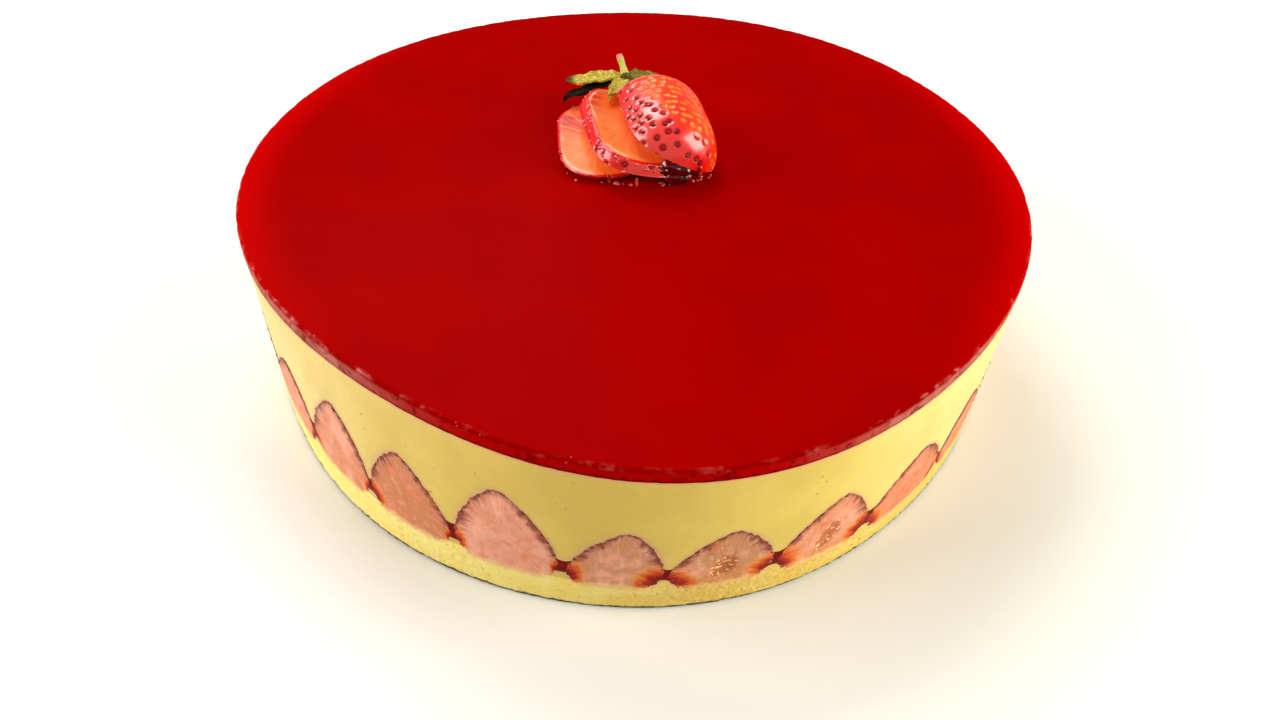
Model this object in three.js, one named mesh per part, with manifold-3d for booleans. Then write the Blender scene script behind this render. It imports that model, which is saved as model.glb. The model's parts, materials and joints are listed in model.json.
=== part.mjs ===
// A fraisier: a sponge base, halved strawberries standing cut face out round the side, smooth cream
// behind and above them, a layer of strawberry jelly, and one sliced strawberry laid on top.
// Millimetres, +Z up. The front of the cake faces -Y and the origin is the centre of its foot.

import * as THREE from 'three';
import { mergeVertices } from 'three/addons/utils/BufferGeometryUtils.js';
import Module from 'manifold-3d';

// The round cake, set in a 24 cm ring
const CAKE_RADIUS = 120;
const CAKE_HEIGHT = 60;
const SPONGE_DEPTH = 12.5;
const JELLY_DEPTH = 4.4;
const CLEARANCE = 0.3;
const FOOT_ROUNDING = 0.6;
const JELLY_ROUNDING = 1.3;
const SIDE_SEGMENTS = 96;
const CRUMB_RISE = 0.5;

// The ring was a little out of round. Each wave round the side has its lobes, its reach in mm and the
// angle of its first crest in degrees, at the foot and at the top of the side.
const FOOT_WAVES = [
  { lobes: 2, reach: 2.7, crest: 21 },
  { lobes: 3, reach: 2.2, crest: 39 },
  { lobes: 4, reach: 0.7, crest: 1 },
  { lobes: 5, reach: 0.9, crest: 26 },
  { lobes: 6, reach: 0.5, crest: -16 },
];
const TOP_WAVES = [
  { lobes: 2, reach: 2.4, crest: -6 },
  { lobes: 3, reach: 2.4, crest: 43 },
  { lobes: 4, reach: 1.0, crest: 5 },
  { lobes: 5, reach: 0.7, crest: -10 },
];

// The berry halves of the front, from left to right: degrees of the side that each takes, the heights
// of its cut base and of its tip above the foot, and how far the tip leans along the side.
const FIRST_BERRY_EDGE = -154.8;
const FRONT_BERRIES = [
  { span: 14.4, base: 9.5, tip: 33.5, lean: 0.5 },
  { span: 13.8, base: 10.9, tip: 38.3, lean: -1.0 },
  { span: 14.2, base: 10.9, tip: 37.4, lean: -3.0 },
  { span: 14.8, base: 10.6, tip: 41.3, lean: -1.2 },
  { span: 12.9, base: 10.2, tip: 34.4, lean: 4.3 },
  { span: 14.4, base: 9.7, tip: 33.2, lean: 3.0 },
  { span: 14.7, base: 8.7, tip: 33.9, lean: 3.8 },
  { span: 16.6, base: 8.0, tip: 30.8, lean: 3.5 },
  { span: 14.5, base: 8.2, tip: 30.0, lean: 1.0 },
];
const BACK_BERRIES = 16;
const BACK_BERRY = { base: 9.0, tip: 34.5, lean: 0 };
const BACK_SPREAD = { base: 1.2, tip: 3.5, lean: 3.5 };
const BACK_SEED = 2024;
const BERRY_GAP = 2.0;
const BERRY_DEPTH = 0.85;
const BERRY_SEGMENTS = 12;
const LEAN_BEND = 1.3;

// Strawberry form: where the shoulder lies between base and tip, and how much the hulled base draws in
const SHOULDER = 0.24;
const HULL_CUT = 0.3;
const SLIM_BERRY = { taper: 1.6, bluntness: 0.75 };
const BLUNT_BERRY = { taper: 5.5, bluntness: 0.45 };
const BERRY_ROWS = [0, 0.1, 0.25, 0.45, 0.64, 0.8, 0.93, 1];

// The garnish: one large strawberry, sliced lengthways and fanned to the left
const GARNISH_BERRY = { length: 44.5, halfWidth: 16.5, halfDepth: 15 };
const GARNISH_ROWS = [0, 0.04, 0.12, 0.24, 0.38, 0.52, 0.66, 0.78, 0.88, 0.95, 0.985, 1];
const GARNISH_SEGMENTS = 28;

function wave(waves, angle) {
  let reach = 0;
  for (const { lobes, reach: height, crest } of waves) {
    reach += height * Math.cos(lobes * (angle - THREE.MathUtils.degToRad(crest)));
  }
  return reach;
}

// Distance of the side from the axis, at an angle and a height
function sideRadius(angle, height) {
  const up = height / CAKE_HEIGHT;
  return CAKE_RADIUS + (1 - up) * wave(FOOT_WAVES, angle) + up * wave(TOP_WAVES, angle);
}

// The crumb makes the seam between sponge and cream rise and fall a little
function seamRise(angle, height) {
  const nearSeam = Math.exp(-(((height - SPONGE_DEPTH) / 2) ** 2));
  return CRUMB_RISE * nearSeam * (Math.sin(9 * angle + 1) + Math.sin(16 * angle));
}

function seededRandom(seed) {
  let state = seed;
  return () => {
    state = (state * 16807) % 2147483647;
    return state / 2147483647;
  };
}

const wasm = await Module();
wasm.setup();

// A closed geometry as a solid, with its seams welded and the flat slivers at its poles left out
function toSolid(geometry) {
  const bare = geometry.clone();
  bare.deleteAttribute('normal');
  bare.deleteAttribute('uv');
  const welded = mergeVertices(bare);
  const corners = welded.index.array;
  const triVerts = [];
  for (let i = 0; i < corners.length; i += 3) {
    const [a, b, c] = corners.slice(i, i + 3);
    if (a !== b && b !== c && c !== a) triVerts.push(a, b, c);
  }
  const vertProperties = Float32Array.from(welded.attributes.position.array);
  const mesh = new wasm.Mesh({ numProp: 3, vertProperties, triVerts: Uint32Array.from(triVerts) });
  return new wasm.Manifold(mesh);
}

function toGeometry(solid) {
  const { vertProperties, triVerts } = solid.getMesh();
  const geometry = new THREE.BufferGeometry();
  geometry.setAttribute('position', new THREE.BufferAttribute(vertProperties, 3));
  geometry.setIndex(new THREE.BufferAttribute(triVerts, 1));
  geometry.computeVertexNormals();
  return geometry;
}

// The largest body of a cut solid, without the loose scraps
function largestPart(solid) {
  return solid.decompose().reduce((best, part) => (part.volume() > best.volume() ? part : best));
}

function moveVertices(geometry, move) {
  const position = geometry.attributes.position;
  const point = new THREE.Vector3();
  for (let i = 0; i < position.count; i += 1) {
    point.fromBufferAttribute(position, i);
    move(point);
    position.setXYZ(i, point.x, point.y, point.z);
  }
  return geometry;
}

// A turned form about +Z, from a profile of radius and height that runs up from the axis to the axis
function turned(profile, segments) {
  const points = profile.map(([radius, height]) => new THREE.Vector2(radius, height));
  return new THREE.LatheGeometry(points, segments).rotateX(Math.PI / 2);
}

// One layer of the cake, its profile given for a true circle and then brought to the ring's real outline
function cakeLayer(profile) {
  const layer = turned([[0, profile[0][1]], ...profile, [0, profile.at(-1)[1]]], SIDE_SEGMENTS);
  return toSolid(moveVertices(layer, (point) => {
    const angle = Math.atan2(point.y, point.x);
    const share = Math.hypot(point.x, point.y) / CAKE_RADIUS;
    const radius = share * sideRadius(angle, point.z);
    const height = point.z + share * seamRise(angle, point.z);
    point.set(radius * Math.cos(angle), radius * Math.sin(angle), height);
  }));
}

// Radius of a strawberry as a share of its widest, from the hulled base at 0 to the tip at 1
function berryShare(along, { taper, bluntness }) {
  if (along < SHOULDER) return 1 - HULL_CUT * (1 - along / SHOULDER) ** 2;
  return (1 - ((along - SHOULDER) / (1 - SHOULDER)) ** taper) ** bluntness;
}

function berryForm(rows, shape, segments) {
  return turned([[0, 0], ...rows.map((along) => [berryShare(along, shape), along])], segments);
}

// A whole berry standing at the side, tip up, its axis in the side; swell makes it larger all round
function standingBerry({ angle, halfWidth, base, tip, lean }, swell) {
  const radius = sideRadius(angle, (base + tip) / 2);
  const tall = tip - base + 2 * swell;
  const form = moveVertices(berryForm(BERRY_ROWS, SLIM_BERRY, BERRY_SEGMENTS), (point) => {
    const along = Math.max(point.z, 0);
    point.set(
      point.y * (halfWidth * BERRY_DEPTH + swell),
      point.x * (halfWidth + swell) + lean * along ** LEAN_BEND,
      base - swell + along * tall,
    );
  });
  form.index.array.reverse();
  return toSolid(form.translate(radius, 0, 0).rotateZ(angle));
}

// Angle and size of every berry half, the front ones as listed and the others drawn at random
function berryRing() {
  const draw = seededRandom(BACK_SEED);
  const vary = (key) => BACK_BERRY[key] + BACK_SPREAD[key] * (2 * draw() - 1);
  const taken = FRONT_BERRIES.reduce((sum, { span }) => sum + span, 0);
  const span = (360 - taken) / BACK_BERRIES;
  const back = Array.from({ length: BACK_BERRIES }, () => (
    { span, base: vary('base'), tip: vary('tip'), lean: vary('lean') }
  ));
  let edge = FIRST_BERRY_EDGE;
  return [...FRONT_BERRIES, ...back].map((berry) => {
    const angle = THREE.MathUtils.degToRad(edge + berry.span / 2);
    edge += berry.span;
    const arc = THREE.MathUtils.degToRad(berry.span) * sideRadius(angle, berry.base);
    return { ...berry, angle, halfWidth: (arc - BERRY_GAP) / 2 };
  });
}

// The garnish strawberry lying along Y with its tip towards -Y, its cuts level
function lyingBerry() {
  const { length, halfWidth, halfDepth } = GARNISH_BERRY;
  return toSolid(berryForm(GARNISH_ROWS, BLUNT_BERRY, GARNISH_SEGMENTS)
    .scale(halfWidth, halfDepth, length)
    .translate(0, 0, -length / 2)
    .rotateX(Math.PI / 2));
}

// A lengthways slice between two levels of the lying berry, let down to rest on z = 0
function berrySlice(berry, low, high) {
  const { length, halfWidth } = GARNISH_BERRY;
  const slab = new THREE.BoxGeometry(3 * halfWidth, 2 * length, high - low);
  return toGeometry(berry.intersect(toSolid(slab.translate(0, 0, (low + high) / 2)))).translate(0, 0, -low);
}

// A thin leaf along +X from the hub, pointed at its end, drooping and waving along its length
function leaf({ length, width, droop, ripple }, thickness) {
  const outline = new THREE.Shape();
  outline.moveTo(0, -width / 4);
  outline.quadraticCurveTo(length * 0.45, -width * 0.8, length, 0);
  outline.quadraticCurveTo(length * 0.45, width * 0.8, 0, width / 4);
  outline.closePath();
  const settings = { depth: thickness, bevelEnabled: false, curveSegments: 6 };
  const flat = new THREE.ExtrudeGeometry(outline, settings);
  return moveVertices(flat, (point) => {
    const along = point.x / length;
    point.z += -droop * along ** 2 + ripple * Math.sin(2 * Math.PI * along);
  });
}

const SPONGE_COLOR = 0xf0d67a;
const CREAM_COLOR = 0xf3e391;
const JELLY_COLOR = 0xb40000;
const BERRY_COLOR = 0xd98f86;
const GARNISH_COLOR = 0xe0301c;
const LEAF_COLOR = 0x6f7d23;

function piece(name, geometry, color, roughness) {
  const mesh = new THREE.Mesh(geometry, new THREE.MeshStandardMaterial({ color, roughness, metalness: 0 }));
  mesh.name = name;
  return mesh;
}

const spongeTop = SPONGE_DEPTH;
const creamFoot = spongeTop + CLEARANCE;
const jellyFoot = CAKE_HEIGHT - JELLY_DEPTH;
const creamTop = jellyFoot - CLEARANCE;

const group = new THREE.Group();
group.name = 'fraisier_cake';

const berries = berryRing();
const wholeCake = cakeLayer([[CAKE_RADIUS, 0], [CAKE_RADIUS, CAKE_HEIGHT]]);
const pockets = berries.map((berry) => standingBerry(berry, CLEARANCE));

// Sponge, its foot edge slightly rounded, with the shallow beds that the berries are pressed into
const footEdge = CAKE_RADIUS - FOOT_ROUNDING;
const sponge = cakeLayer([
  [footEdge, 0],
  [CAKE_RADIUS - FOOT_ROUNDING * 0.3, FOOT_ROUNDING * 0.3],
  [CAKE_RADIUS, FOOT_ROUNDING],
  [CAKE_RADIUS, spongeTop],
]);
group.add(piece(
  'sponge_base',
  toGeometry(largestPart(pockets.reduce((solid, pocket) => solid.subtract(pocket), sponge))),
  SPONGE_COLOR,
  0.9,
));

// Cream, cast round the berries
const cream = cakeLayer([[CAKE_RADIUS, creamFoot], [CAKE_RADIUS, creamTop]]);
group.add(piece(
  'cream',
  toGeometry(largestPart(pockets.reduce((solid, pocket) => solid.subtract(pocket), cream))),
  CREAM_COLOR,
  0.6,
));

// Berry halves, each cut off flush with the side
berries.forEach((berry, index) => {
  const half = standingBerry(berry, 0).intersect(wholeCake);
  group.add(piece(`berry_${String(index + 1).padStart(2, '0')}`, toGeometry(half), BERRY_COLOR, 0.45));
});

// Jelly, poured on last, with a soft upper edge
const jellyEdge = CAKE_RADIUS - JELLY_ROUNDING;
const roundedEdge = [0, 1, 2, 3].map((step) => {
  const turn = (step * Math.PI) / 6;
  return [jellyEdge + JELLY_ROUNDING * Math.cos(turn), CAKE_HEIGHT - JELLY_ROUNDING * (1 - Math.sin(turn))];
});
const jelly = cakeLayer([[CAKE_RADIUS, jellyFoot], ...roundedEdge]);
group.add(piece('jelly', toGeometry(jelly), JELLY_COLOR, 0.15));

// Garnish slices: the levels of the two cuts, how far the slice is drawn out lengthways, then where it
// lies, its roll and its heading. The middle one leans on the left one and the cap on the middle one,
// and each comes down to the jelly on its right.
const berry = lyingBerry();
const restingHeight = CAKE_HEIGHT + CLEARANCE;
const slices = [
  {
    name: 'garnish_slice_left',
    cut: [-9.6, -7.2],
    stretch: 1,
    at: [-12.9, 14.8, restingHeight],
    roll: 0,
    heading: 6,
  },
  {
    name: 'garnish_slice_middle',
    cut: [2.6, 6.8],
    stretch: 1.04,
    at: [-2.9, 14.1, 64.4],
    roll: 12.8,
    heading: 13,
  },
  {
    name: 'garnish_cap',
    cut: [2.5, 15],
    stretch: 0.9,
    at: [7.9, 12.4, 68.3],
    roll: 27.9,
    heading: 13,
  },
];
for (const { name, cut, stretch, at, roll, heading } of slices) {
  const slice = piece(name, berrySlice(berry, ...cut).scale(1, stretch, 1), GARNISH_COLOR, 0.3);
  slice.rotation.set(0, THREE.MathUtils.degToRad(roll), THREE.MathUtils.degToRad(heading), 'ZYX');
  slice.position.set(...at);
  group.add(slice);
}

// Calyx: leaves and stem growing from one small hub behind the slices. Each leaf has its direction in
// plan and its slope from the hub, in degrees.
const CALYX_AT = [-6.5, 39.9, 71.6];
const HUB_RADIUS = 2;
const LEAF_THICKNESS = 0.6;
const STEM = { radius: 0.8, length: 8.5, slope: 35, direction: 108 };
const leaves = [
  { length: 20, width: 7, droop: 2, ripple: 0.5, direction: 176, slope: -1 },
  { length: 22, width: 7, droop: 2, ripple: 0.4, direction: 188, slope: -11 },
  { length: 12, width: 6.5, droop: 1.5, ripple: 0.4, direction: 22, slope: 5 },
  { length: 15, width: 5.5, droop: 1.2, ripple: 0.4, direction: 252, slope: 11 },
  { length: 10, width: 6, droop: 2, ripple: 0.3, direction: 80, slope: -30 },
];

function pointed(geometry, direction, slope) {
  return geometry
    .rotateY(-THREE.MathUtils.degToRad(slope))
    .rotateZ(THREE.MathUtils.degToRad(direction));
}

const stem = pointed(
  new THREE.CylinderGeometry(STEM.radius, STEM.radius, STEM.length, 10)
    .rotateZ(-Math.PI / 2)
    .translate(STEM.length / 2, 0, 0),
  STEM.direction,
  STEM.slope,
);
const hub = new THREE.SphereGeometry(HUB_RADIUS, 10, 6);
const blades = leaves.map(({ direction, slope, ...form }) => (
  toSolid(pointed(leaf(form, LEAF_THICKNESS), direction, slope))
));
const calyx = blades.reduce((solid, blade) => solid.add(blade), toSolid(hub).add(toSolid(stem)));
const calyxPiece = piece('calyx', toGeometry(calyx), LEAF_COLOR, 0.7);
calyxPiece.position.set(...CALYX_AT);
group.add(calyxPiece);

// The origin is the middle of the cake's bounds
const middle = new THREE.Box3().setFromObject(group).getCenter(new THREE.Vector3());
group.position.set(-middle.x, -middle.y, 0);

export default group;
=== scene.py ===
import json
import random
from math import acos, atan2, cos, exp, hypot, pi, radians, sin, sqrt

import bmesh
import bpy
import numpy as np
from mathutils import Matrix, Vector, noise
from mathutils.kdtree import KDTree

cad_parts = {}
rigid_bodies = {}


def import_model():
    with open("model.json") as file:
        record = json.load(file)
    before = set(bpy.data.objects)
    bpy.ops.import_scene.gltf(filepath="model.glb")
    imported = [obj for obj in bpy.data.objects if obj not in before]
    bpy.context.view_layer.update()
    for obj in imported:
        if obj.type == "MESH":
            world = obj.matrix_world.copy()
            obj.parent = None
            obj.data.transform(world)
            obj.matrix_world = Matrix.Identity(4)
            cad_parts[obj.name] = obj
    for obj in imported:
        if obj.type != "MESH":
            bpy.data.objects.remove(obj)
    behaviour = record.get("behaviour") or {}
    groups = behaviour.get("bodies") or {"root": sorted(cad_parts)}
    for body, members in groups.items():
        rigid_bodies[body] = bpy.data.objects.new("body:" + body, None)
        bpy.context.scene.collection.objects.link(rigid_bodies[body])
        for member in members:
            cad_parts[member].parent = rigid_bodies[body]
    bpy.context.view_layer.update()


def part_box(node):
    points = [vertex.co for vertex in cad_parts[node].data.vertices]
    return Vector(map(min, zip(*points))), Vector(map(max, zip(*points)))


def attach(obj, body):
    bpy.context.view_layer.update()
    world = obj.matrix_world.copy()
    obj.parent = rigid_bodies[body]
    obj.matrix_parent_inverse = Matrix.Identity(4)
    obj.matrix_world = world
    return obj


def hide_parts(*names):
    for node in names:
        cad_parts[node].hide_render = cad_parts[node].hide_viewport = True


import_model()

# Sponge. The foot of the cake is one disc of soaked egg sponge, cut with the steel ring that the cake
# is built up in, which was bent a little out of round. Its side shows the open crumb, and its upper
# edge is a little torn where the berries were pressed down into it.

# Sizes are in millimetres about the cake's axis until a piece is finished, and metres after that
MM = 0.001
RING_RADIUS = 120.0
CAKE_HEIGHT = 60.0
JELLY_DEPTH = 4.4
JELLY_FOOT = CAKE_HEIGHT - JELLY_DEPTH
JELLY_ROUNDING = 1.3
# Waves of the ring's outline at the foot and the top: lobes, reach, and a crest's place in degrees
FOOT_WAVES = ((2, 2.7, 21), (3, 2.2, 39), (4, 0.7, 1), (5, 0.9, 26), (6, 0.5, -16))
TOP_WAVES = ((2, 2.4, -6), (3, 2.4, 43), (4, 1.0, 5), (5, 0.7, -10))
OUTLINE_STEPS = 96
SPONGE_DEPTH = 12.5
SPONGE_SEGMENTS = 1100
SPONGE_ROWS = 34
FOOT_ROUNDING = 0.6
FOOT_STEPS = 6
SEAM_RISE = 0.5
SEAM_SPREAD = 2.0
PORE_SPACING = 2.6
PORE_SHARE = 0.34
PORE_DEPTH = 0.5
CRUMB_GRAIN = 0.28
TORN_RISE = 0.5
TORN_DEPTH = 1.5
CRUST_AND_SHADOW_DEPTH = 1.1


def wave(waves, angle):
    return sum(reach * cos(lobes * (angle - radians(crest))) for lobes, reach, crest in waves)


def side_radius(angle, height):
    """Distance of the cake's side from its axis."""
    up = height / CAKE_HEIGHT
    return RING_RADIUS + (1 - up) * wave(FOOT_WAVES, angle) + up * wave(TOP_WAVES, angle)


# The axis stands where the jelly's box in the frame puts it
jelly_low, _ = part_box("jelly")
outline_rows = [
    (angle, side_radius(angle, height))
    for angle in (2 * pi * part / OUTLINE_STEPS for part in range(OUTLINE_STEPS))
    for height in (JELLY_FOOT, CAKE_HEIGHT - JELLY_ROUNDING)
]
AXIS = Vector((
    jelly_low.x - MM * min(radius * cos(angle) for angle, radius in outline_rows),
    jelly_low.y - MM * min(radius * sin(angle) for angle, radius in outline_rows),
    0.0,
))


def seam_rise(angle, height):
    """Rise and fall of the seam between the sponge and the cream."""
    near_seam = exp(-(((height - SPONGE_DEPTH) / SEAM_SPREAD) ** 2))
    return SEAM_RISE * near_seam * (sin(9 * angle + 1) + sin(16 * angle))


def rough(point, pitch, octaves):
    return noise.fractal(point * pitch, 1.0, 2.0, octaves)


def flat(height, radii=(0, 60, 100, 117)):
    """Rings of a layer's flat face, from the axis out."""
    return [(radius, height) for radius in radii]


def upright(foot, top, rows):
    """Rings of a layer's side, from its foot up."""
    return [(RING_RADIUS, foot + (top - foot) * row / rows) for row in range(rows + 1)]


def facing_out(bm):
    """Turns a closed body's faces outwards, where the operators left them all facing in."""
    if bm.calc_volume(signed=True) < 0:
        bmesh.ops.reverse_faces(bm, faces=bm.faces)
    return bm


def turned(profile, segments):
    """A closed body turned about the axis, from rings of radius and height that start and end on it."""
    bm = bmesh.new()
    ring = bmesh.ops.create_circle(bm, segments=segments, radius=1)["verts"]
    edges = list({edge for vert in ring for edge in vert.link_edges})
    poles = list(ring)
    for radius, height in profile:
        if radius != profile[0][0] or height != profile[0][1]:
            made = bmesh.ops.extrude_edge_only(bm, edges=edges)["geom"]
            ring = [item for item in made if isinstance(item, bmesh.types.BMVert)]
            edges = [item for item in made if isinstance(item, bmesh.types.BMEdge)]
        for vert in ring:
            out = vert.co.xy.normalized()
            vert.co = (out.x * max(radius, 0.001), out.y * max(radius, 0.001), height)
    bmesh.ops.remove_doubles(bm, verts=poles + ring, dist=0.01)
    return facing_out(bm)


def to_ring(point, seam_share=1.0):
    """A point of a true round cake, brought to the ring's real outline."""
    angle = atan2(point.y, point.x)
    share = hypot(point.x, point.y) / RING_RADIUS
    radius = share * side_radius(angle, point.z)
    height = point.z + share * seam_share * seam_rise(angle, point.z)
    return Vector((radius * cos(angle), radius * sin(angle), height))


def in_frame(bm, name, smooth_angle=180):
    """Finishes a bmesh in millimetres about the axis as an object in the frame."""
    bmesh.ops.scale(bm, vec=(MM, MM, MM), verts=bm.verts)
    bmesh.ops.translate(bm, vec=AXIS, verts=bm.verts)
    for face in bm.faces:
        face.smooth = True
    mesh = bpy.data.meshes.new(name)
    bm.to_mesh(mesh)
    bm.free()
    if smooth_angle < 180:
        mesh.set_sharp_from_angle(angle=radians(smooth_angle))
    piece = bpy.data.objects.new(name, mesh)
    bpy.context.scene.collection.objects.link(piece)
    return piece


def shade(red, green, blue):
    """A colour seen as steps of 0 to 255, as the linear values that a shader takes."""
    seen = [step / 255 for step in (red, green, blue)]
    return tuple(c / 12.92 if c <= 0.04045 else ((c + 0.055) / 1.055) ** 2.4 for c in seen) + (1.0,)


class Signal:
    """A value that changes over a surface. Arithmetic on it adds Math nodes to its finish."""

    def __init__(self, finish, socket):
        self.finish = finish
        self.socket = socket

    def math(self, operation, first, second):
        return self.finish.node("ShaderNodeMath", {"operation": operation}, {0: first, 1: second})

    def __add__(self, other):
        return self.math("ADD", self, other)

    def __radd__(self, other):
        return self.math("ADD", other, self)

    def __sub__(self, other):
        return self.math("SUBTRACT", self, other)

    def __rsub__(self, other):
        return self.math("SUBTRACT", other, self)

    def __mul__(self, other):
        return self.math("MULTIPLY", self, other)

    def __rmul__(self, other):
        return self.math("MULTIPLY", other, self)


class Finish:
    """A procedural surface: constants sit on its shader, and one method makes every node."""

    def __init__(self, name, **constants):
        self.material = bpy.data.materials.new(name)
        self.material.use_nodes = True
        self.tree = self.material.node_tree
        self.shader = self.tree.nodes["Principled BSDF"]
        for socket, value in constants.items():
            self.shader.inputs[socket.replace("_", " ")].default_value = value

    def node(self, kind, settings=None, inputs=None, output=0):
        made = self.tree.nodes.new(kind)
        for key, value in (settings or {}).items():
            setattr(made, key, value)
        for key, value in (inputs or {}).items():
            if isinstance(value, Signal):
                self.tree.links.new(value.socket, made.inputs[key])
            else:
                made.inputs[key].default_value = value
        return Signal(self, made.outputs[output])

    def place(self):
        return self.node("ShaderNodeTexCoord", output="Object")

    def attribute(self, name, output="Fac"):
        return self.node("ShaderNodeAttribute", {"attribute_name": name}, output=output)

    def feed(self, socket, signal):
        self.tree.links.new(signal.socket, self.shader.inputs[socket])

    def bump(self, height, distance, strength):
        """Relief of the surface, its height in the unit of distance, in metres."""
        inputs = {"Strength": strength, "Distance": distance, "Height": height}
        self.feed("Normal", self.node("ShaderNodeBump", inputs=inputs))

    def coat(self, piece):
        piece.data.materials.append(self.material)


def parts(vector):
    """The three numbers of a vector."""
    outputs = vector.finish.node("ShaderNodeSeparateXYZ", inputs={0: vector}).socket.node.outputs
    return [Signal(vector.finish, outputs[axis]) for axis in range(3)]


def stretched(vector, scale):
    return vector.finish.node("ShaderNodeVectorMath", {"operation": "MULTIPLY"}, {0: vector, 1: scale})


def clouds(vector, scale, detail=3.0, roughness=0.5):
    inputs = {"Vector": vector, "Scale": scale, "Detail": detail, "Roughness": roughness}
    return vector.finish.node("ShaderNodeTexNoise", inputs=inputs)


def cells(vector, scale):
    """Distance to the nearest of many scattered points."""
    return vector.finish.node("ShaderNodeTexVoronoi", inputs={"Vector": vector, "Scale": scale})


def step(value, low, high):
    """Rises smoothly from 0 at low to 1 at high, or falls where low is the larger."""
    falls = float(low > high)
    inputs = {0: value, 1: min(low, high), 2: max(low, high), 3: falls, 4: 1 - falls}
    return value.finish.node("ShaderNodeMapRange", {"interpolation_type": "SMOOTHSTEP"}, inputs)


def mix(share, first, second):
    """From the first colour to the second by a share. A plain colour is given as steps of 0 to 255."""
    first, second = (shade(*color) if isinstance(color, tuple) else color for color in (first, second))
    return share.finish.node("ShaderNodeMix", {"data_type": "RGBA"}, {0: share, 6: first, 7: second}, 2)


foot_edge = [
    (RING_RADIUS - FOOT_ROUNDING * (1 - sin(turn)), FOOT_ROUNDING * (1 - cos(turn)))
    for turn in (radians(part * 90 / FOOT_STEPS) for part in range(FOOT_STEPS))
]
sponge_side = [*foot_edge, *upright(FOOT_ROUNDING, SPONGE_DEPTH, SPONGE_ROWS)]
sponge_foot = flat(0, (0, 60, 100, 115))
bm = turned([*sponge_foot, *sponge_side, *flat(SPONGE_DEPTH)[::-1]], SPONGE_SEGMENTS)
for vert in bm.verts:
    on_side = hypot(vert.co.x, vert.co.y) > RING_RADIUS * 0.97
    vert.co = to_ring(vert.co)
    if not on_side or vert.co.z < 0.05:
        continue
    pore = max(0.0, 1 - noise.voronoi(vert.co / PORE_SPACING)[0][0] / PORE_SHARE)
    dent = PORE_DEPTH * pore * (0.5 + noise.noise(vert.co * 0.3))
    dent -= CRUMB_GRAIN * min(rough(vert.co, 0.9, 4), 0.3)
    vert.co.xy -= vert.co.xy.normalized() * max(dent, -0.1)
    near_top = max(0.0, 1 - (SPONGE_DEPTH + TORN_RISE - vert.co.z) / TORN_DEPTH)
    vert.co.z += TORN_RISE * near_top * rough(Vector((vert.co.x, vert.co.y, 7)), 0.5, 3)
sponge = in_frame(bm, "sponge")

crumb = Finish("Egg sponge", Roughness=0.75, Specular_IOR_Level=0.25)
spot = crumb.place()
x_side, _, height = parts(spot)
height_mm = height * 1000
near_berry = crumb.attribute("berry_distance")
mottle = clouds(spot, 120, detail=4)
layers = clouds(stretched(spot, (45, 45, 420)), 1.0, detail=3)
grain = clouds(spot, 900, detail=5, roughness=0.65)
pores = cells(spot, 420)
color = mix(step(mottle, 0.3, 0.72), (255, 230, 120), (255, 241, 146))
# Deeper yellow towards the bottom, kept to the right half. With the next layer the right half is painted
# darker and the left half lighter: painted shade and painted light across the sponge.
deeper_low = step(height_mm + (mottle - 0.5) * 6, 10, 2)
color = mix(deeper_low * step(x_side, -0.035, 0.03) * 0.5, color, (246, 202, 84))
color = mix(step(x_side, -0.03, 0.03) * 0.8, color, (224, 180, 78))
color = mix(step(layers, 0.5, 0.75) * 0.4, color, (255, 236, 158))
color = mix(step(grain, 0.5, 0.75) * 0.5, color, (255, 244, 184))
# The crumb's pores are painted darker: painted shade in the holes.
color = mix(step(pores, 0.26, 0.05) * 0.45, color, (216, 166, 66))
color = mix(step(near_berry + (grain - 0.5) * 1.5, 1.7, 0.1) * 0.6, color, (246, 178, 142))
# A dark brown band at the foot: partly a browned crust, partly a painted contact shadow.
crust_and_shadow = step(height_mm + (mottle - 0.5) * 1.4, CRUST_AND_SHADOW_DEPTH + 0.3, CRUST_AND_SHADOW_DEPTH - 0.5)
color = mix(crust_and_shadow * 0.95, color, (44, 28, 8))
crumb.feed("Base Color", color)
crumb.bump(grain * 0.7 + step(pores, 0.0, 0.35) * 0.8, 0.0003, 0.8)
crumb.coat(sponge)
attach(sponge, "root")
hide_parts("sponge_base")

# Strawberries. Even berries are hulled, halved and stood round the ring on the sponge, cut face out
# against the steel, so the side of the cake slices them flush. Each face shows pale flesh with fibres
# running out from the core, and a dark serrated line of skin with the seeds that the knife cut.
FIRST_BERRY_EDGE = -154.8
FRONT_BERRIES = (
    # (degrees of the side, base, tip, lean), (how salmon, how grey, how hollow its core), how far the
    # red of the left and right shoulder runs in, and where the dark strokes and the brown line lie round
    # the face, in degrees
    ((14.4, 9.5, 33.5, 0.5), (0.5, 0.3, 0.0), (0.1, 4.0), (120, 60)),
    ((13.8, 10.9, 38.3, -1.0), (0.45, 0.5, 0.1), (3.0, 2.6), (160, 35)),
    ((14.2, 10.9, 37.4, -3.0), (0.8, 0.75, 0.15), (5.5, 2.6), (150, 30)),
    ((14.8, 10.6, 41.3, -1.2), (0.3, 0.3, 0.1), (4.2, 2.6), (160, 40)),
    ((12.9, 10.2, 34.4, 4.3), (0.15, 0.9, 0.1), (7.0, 9.0), (10, 150)),
    ((14.4, 9.7, 33.2, 3.0), (0.2, 1.0, 1.0), (10.5, 8.5), (40, 140)),
    ((14.7, 8.7, 33.9, 3.8), (0.5, 0.45, 0.8), (10.0, 8.0), (25, 140)),
    ((16.6, 8.0, 30.8, 3.5), (0.75, 0.4, 0.35), (8.0, 6.0), (35, 130)),
    ((14.5, 8.2, 30.0, 1.0), (0.7, 0.2, 0.1), (5.0, 4.0), (40, 120)),
)
BACK_BERRIES = 16
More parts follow.
